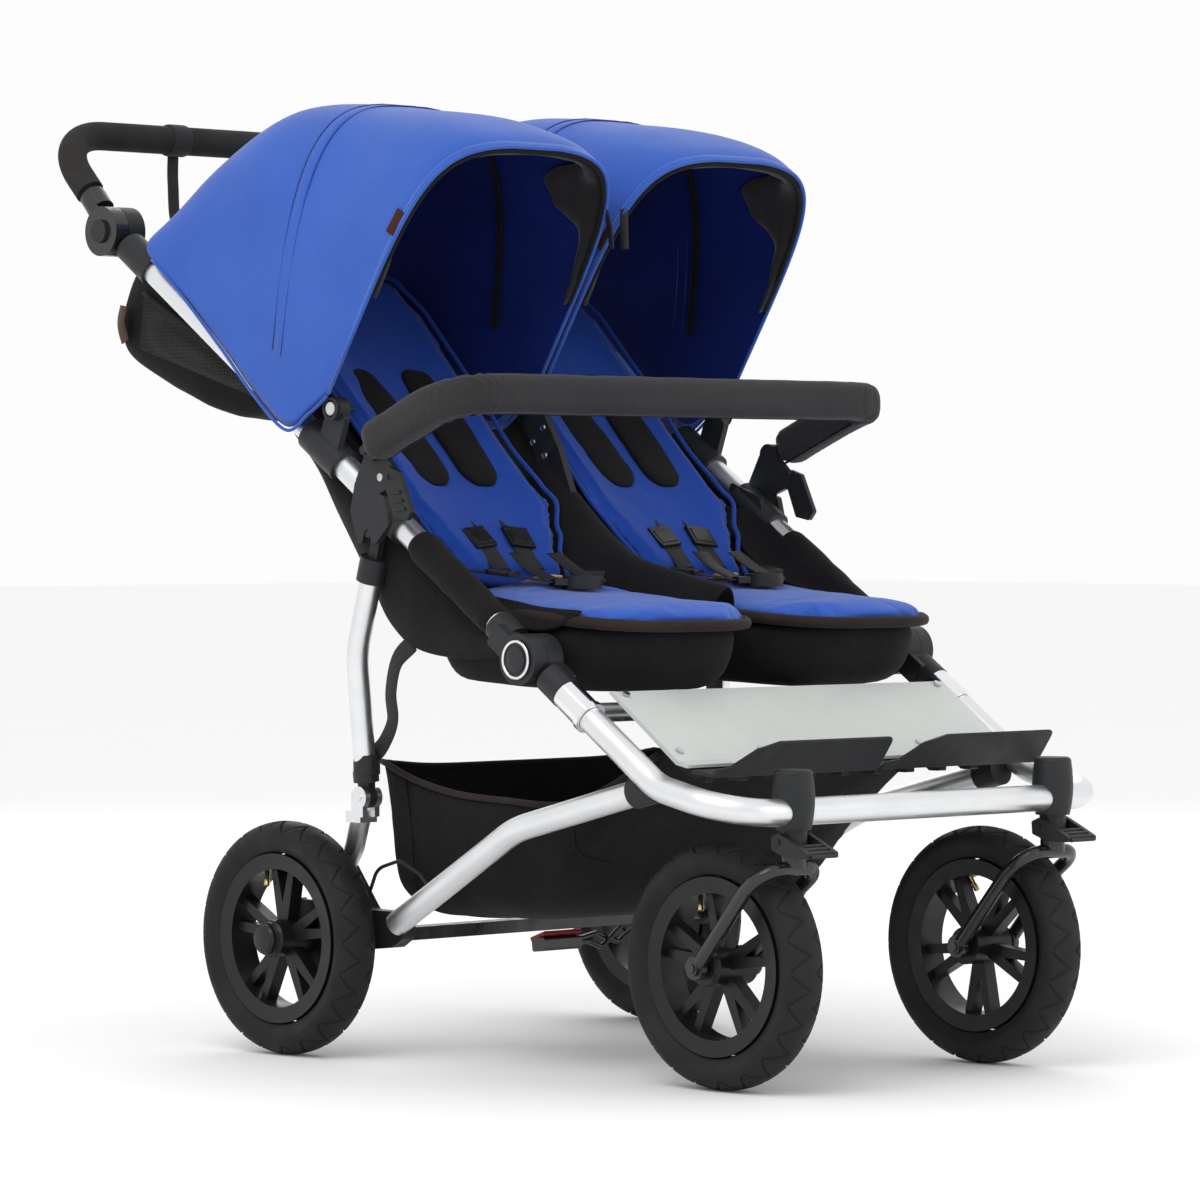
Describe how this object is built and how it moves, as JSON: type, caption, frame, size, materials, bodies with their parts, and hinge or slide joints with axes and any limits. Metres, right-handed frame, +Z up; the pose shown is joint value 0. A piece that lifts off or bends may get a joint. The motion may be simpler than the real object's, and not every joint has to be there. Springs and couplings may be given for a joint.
{
  "type": "stroller",
  "caption": "Side-by-side twin all-terrain stroller with a folding tube frame, reclining seats, canopies and swivel front casters.",
  "frame": {"origin": "on the floor under the middle of the bounding box", "axes": "+Z up, -Y towards the front, +X towards the seated children's left"},
  "size_m": [0.6672, 1.1572, 1.0386],
  "materials": {
    "aluminium_tube": "satin anodised",
    "chrome": "polished",
    "steel": "brushed",
    "black_steel": "satin black",
    "black_plastic": "fine moulded texture",
    "silver_plastic": "satin",
    "foam": "closed cell foam",
    "tyre": "moulded tread",
    "blue_fabric": "woven polyester",
    "black_fabric": "woven polyester",
    "red_plastic": "moulded"
  },
  "bodies": {
    "chassis": {"front_frame": "aluminium_tube", "front_sleeves": "chrome", "hinge_hubs": "black_plastic", "lower_tubes": "aluminium_tube", "tube_clamps": "black_plastic", "axle_brackets": "black_plastic", "rear_axle": "black_steel", "leg_stubs": "aluminium_tube", "seat_crossbar": "aluminium_tube", "left_seat_base": "black_fabric", "right_seat_base": "black_fabric", "left_seat_pad": "blue_fabric", "right_seat_pad": "blue_fabric", "footplate": "silver_plastic", "step_backing": "black_plastic", "foot_trays": "black_plastic", "frame_screws": "steel", "basket": "black_fabric", "caster_housings": "black_plastic", "brake_cable": "black_plastic", "buckles": "black_plastic"},
    "upper_frame": {"upper_tubes": "aluminium_tube", "hinge_discs": "black_plastic", "latch_housings": "black_plastic", "canopy_clamps": "black_plastic", "handle_hubs": "black_plastic", "back_crossbar": "aluminium_tube", "seat_hinge_bar": "black_steel", "centre_bracket": "black_plastic", "rear_pocket": "black_fabric", "left_canopy": "blue_fabric", "right_canopy": "blue_fabric"},
    "rear_legs": {"leg_tubes": "aluminium_tube", "leg_fittings": "black_plastic"},
    "handle": {"handlebar": "black_steel", "handle_grip": "foam"},
    "bumper": {"bumper_bar": "black_fabric"},
    "brake": {"brake_pedal": "black_steel"},
    "left_back": {"left_seat_back": "black_fabric"},
    "left_bow": {"left_canopy_bow": "black_steel"},
    "left_latch": {"left_latch_lever": "black_plastic"},
    "left_angle_button": {"left_handle_button": "black_plastic"},
    "left_caster": {"left_fork": "black_steel"},
    "left_swivel_lock": {"left_caster_lever": "black_plastic"},
    "left_buckle_push": {"left_buckle_button": "black_plastic"},
    "front_left_wheel": {"front_left_tyre": "tyre", "front_left_rim": "black_plastic"},
    "rear_left_wheel": {"rear_left_tyre": "tyre", "rear_left_rim": "black_plastic"},
    "right_back": {"right_seat_back": "black_fabric"},
    "right_bow": {"right_canopy_bow": "black_steel"},
    "right_latch": {"right_latch_lever": "black_plastic"},
    "right_angle_button": {"right_handle_button": "black_plastic"},
    "right_caster": {"right_fork": "black_steel"},
    "right_swivel_lock": {"right_caster_lever": "black_plastic"},
    "right_buckle_push": {"right_buckle_button": "black_plastic"},
    "front_right_wheel": {"front_right_tyre": "tyre", "front_right_rim": "black_plastic"},
    "rear_right_wheel": {"rear_right_tyre": "tyre", "rear_right_rim": "black_plastic"}
  },
  "joints": [
    {"name": "frame_fold", "type": "hinge", "parent": "chassis", "child": "upper_frame", "pos_m": [0, -0.2435, 0.437], "axis": [1, 0, 0], "range_deg": [0, 108]},
    {"name": "leg_fold", "type": "hinge", "parent": "chassis", "child": "rear_legs", "pos_m": [0, 0.0365, 0.283], "axis": [1, 0, 0], "range_deg": [0, 34]},
    {"name": "handle_angle", "type": "hinge", "parent": "upper_frame", "child": "handle", "pos_m": [0, 0.44216, 0.90473], "axis": [1, 0, 0], "range_deg": [-40, 40]},
    {"name": "bumper_swing", "type": "hinge", "parent": "upper_frame", "child": "bumper", "pos_m": [0, -0.0205, 0.655], "axis": [1, 0, 0], "range_deg": [-35, 0]},
    {"name": "brake_press", "type": "hinge", "parent": "chassis", "child": "brake", "pos_m": [0, 0.0595, 0.127], "axis": [-1, 0, 0], "range_deg": [0, 30]},
    {"name": "left_recline", "type": "hinge", "parent": "upper_frame", "child": "left_back", "pos_m": [0, -0.0505, 0.498], "axis": [1, 0, 0], "range_deg": [-30, 0], "deforming": ["rear_pocket"]},
    {"name": "left_canopy_fold", "type": "hinge", "parent": "upper_frame", "child": "left_bow", "pos_m": [0, 0.0525, 0.7], "axis": [1, 0, 0], "range_deg": [-60, 0], "deforming": ["left_canopy"]},
    {"name": "left_latch_release", "type": "hinge", "parent": "upper_frame", "child": "left_latch", "pos_m": [0, -0.0485, 0.626], "axis": [-1, 0, 0], "range_deg": [0, 14], "stiffness_Nm_per_rad": 0.3},
    {"name": "left_angle_press", "type": "slide", "parent": "handle", "child": "left_angle_button", "axis": [-1, 0, 0], "range_m": [0, 0.003], "stiffness_N_per_m": 120},
    {"name": "left_caster_swivel", "type": "hinge", "parent": "chassis", "child": "left_caster", "pos_m": [0.197, -0.5375, 0], "axis": [0, 0, 1], "continuous": true},
    {"name": "left_swivel_lock_flip", "type": "hinge", "parent": "chassis", "child": "left_swivel_lock", "pos_m": [0, -0.5375, 0.258], "axis": [-1, 0, 0], "range_deg": [0, 15]},
    {"name": "left_buckle_press", "type": "slide", "parent": "chassis", "child": "left_buckle_push", "axis": [0, 0, -1], "range_m": [0, 0.0025], "stiffness_N_per_m": 300},
    {"name": "front_left_spin", "type": "hinge", "parent": "left_caster", "child": "front_left_wheel", "pos_m": [0.197, -0.4395, 0.127], "axis": [1, 0, 0], "continuous": true},
    {"name": "rear_left_spin", "type": "hinge", "parent": "chassis", "child": "rear_left_wheel", "pos_m": [0.28, 0.1455, 0.127], "axis": [1, 0, 0], "continuous": true},
    {"name": "right_recline", "type": "hinge", "parent": "upper_frame", "child": "right_back", "pos_m": [0, -0.0505, 0.498], "axis": [1, 0, 0], "range_deg": [-30, 0], "deforming": ["rear_pocket"]},
    {"name": "right_canopy_fold", "type": "hinge", "parent": "upper_frame", "child": "right_bow", "pos_m": [0, 0.0525, 0.7], "axis": [1, 0, 0], "range_deg": [-60, 0], "deforming": ["right_canopy"]},
    {"name": "right_latch_release", "type": "hinge", "parent": "upper_frame", "child": "right_latch", "pos_m": [0, -0.0485, 0.626], "axis": [-1, 0, 0], "range_deg": [0, 14], "stiffness_Nm_per_rad": 0.3},
    {"name": "right_angle_press", "type": "slide", "parent": "handle", "child": "right_angle_button", "axis": [1, 0, 0], "range_m": [0, 0.003], "stiffness_N_per_m": 120},
    {"name": "right_caster_swivel", "type": "hinge", "parent": "chassis", "child": "right_caster", "pos_m": [-0.197, -0.5375, 0], "axis": [0, 0, 1], "continuous": true},
    {"name": "right_swivel_lock_flip", "type": "hinge", "parent": "chassis", "child": "right_swivel_lock", "pos_m": [0, -0.5375, 0.258], "axis": [-1, 0, 0], "range_deg": [0, 15]},
    {"name": "right_buckle_press", "type": "slide", "parent": "chassis", "child": "right_buckle_push", "axis": [0, 0, -1], "range_m": [0, 0.0025], "stiffness_N_per_m": 300},
    {"name": "front_right_spin", "type": "hinge", "parent": "right_caster", "child": "front_right_wheel", "pos_m": [-0.197, -0.4395, 0.127], "axis": [1, 0, 0], "continuous": true},
    {"name": "rear_right_spin", "type": "hinge", "parent": "chassis", "child": "rear_right_wheel", "pos_m": [-0.28, 0.1455, 0.127], "axis": [1, 0, 0], "continuous": true}
  ],
  "couplings": [
    {"joint": "leg_fold", "follows": "frame_fold", "ratio": 0.3}
  ]
}
